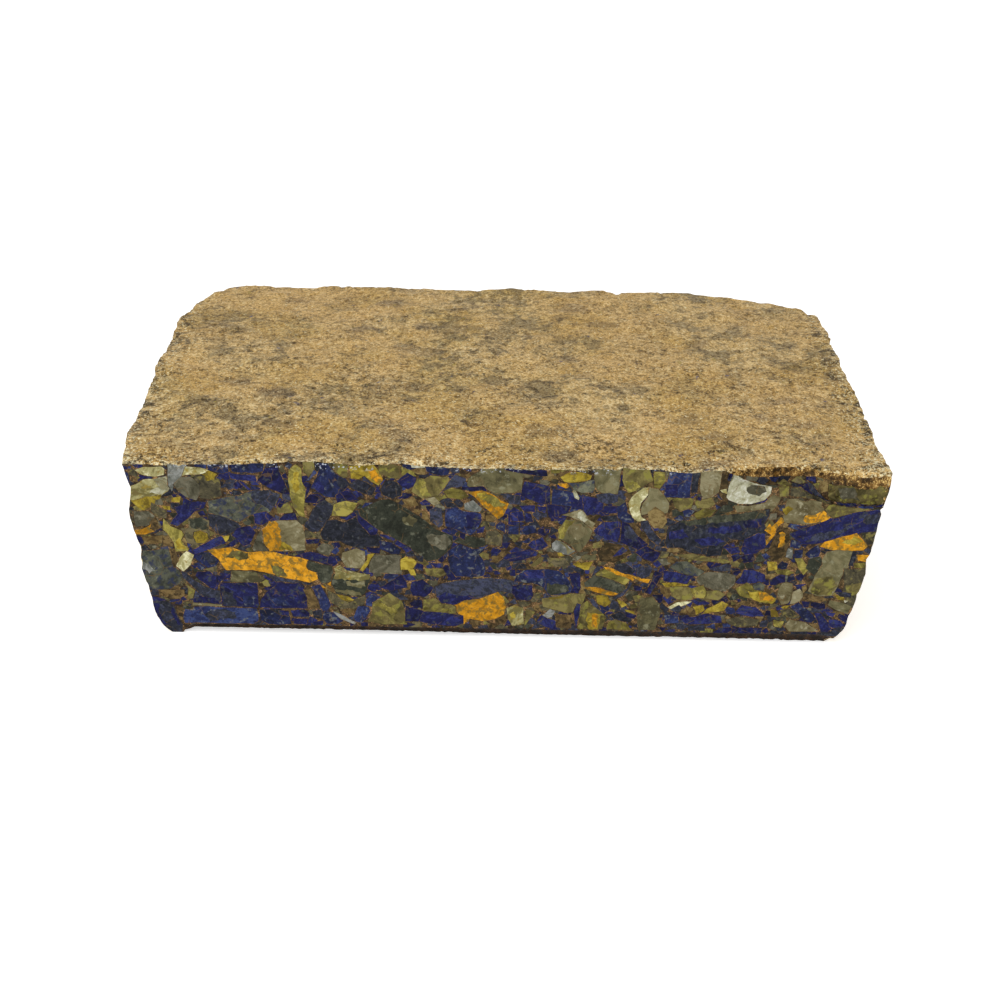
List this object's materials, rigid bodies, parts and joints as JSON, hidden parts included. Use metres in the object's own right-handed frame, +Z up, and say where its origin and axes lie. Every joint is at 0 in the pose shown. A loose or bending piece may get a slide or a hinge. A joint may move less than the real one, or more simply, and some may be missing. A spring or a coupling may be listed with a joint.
{
  "type": "lapis lazuli chip block",
  "caption": "Cast block of lapis lazuli and yellow, green and grey stone chips in a bronze-coloured binder, with one long side sawn flat and a rough bronze skin",
  "frame": {"origin": "middle of the block's box, on the surface that it rests on", "axes": "+X along the sawn face to its right, +Y into the block from the sawn face, +Z up"},
  "size_m": [0.1834, 0.1194, 0.048],
  "materials": {
    "pressed_stone": "polished mosaic of stone chips in a bronze binder on the sawn face, rough glittering bronze skin elsewhere"
  },
  "bodies": {
    "root": {"block": "pressed_stone"}
  },
  "joints": []
}
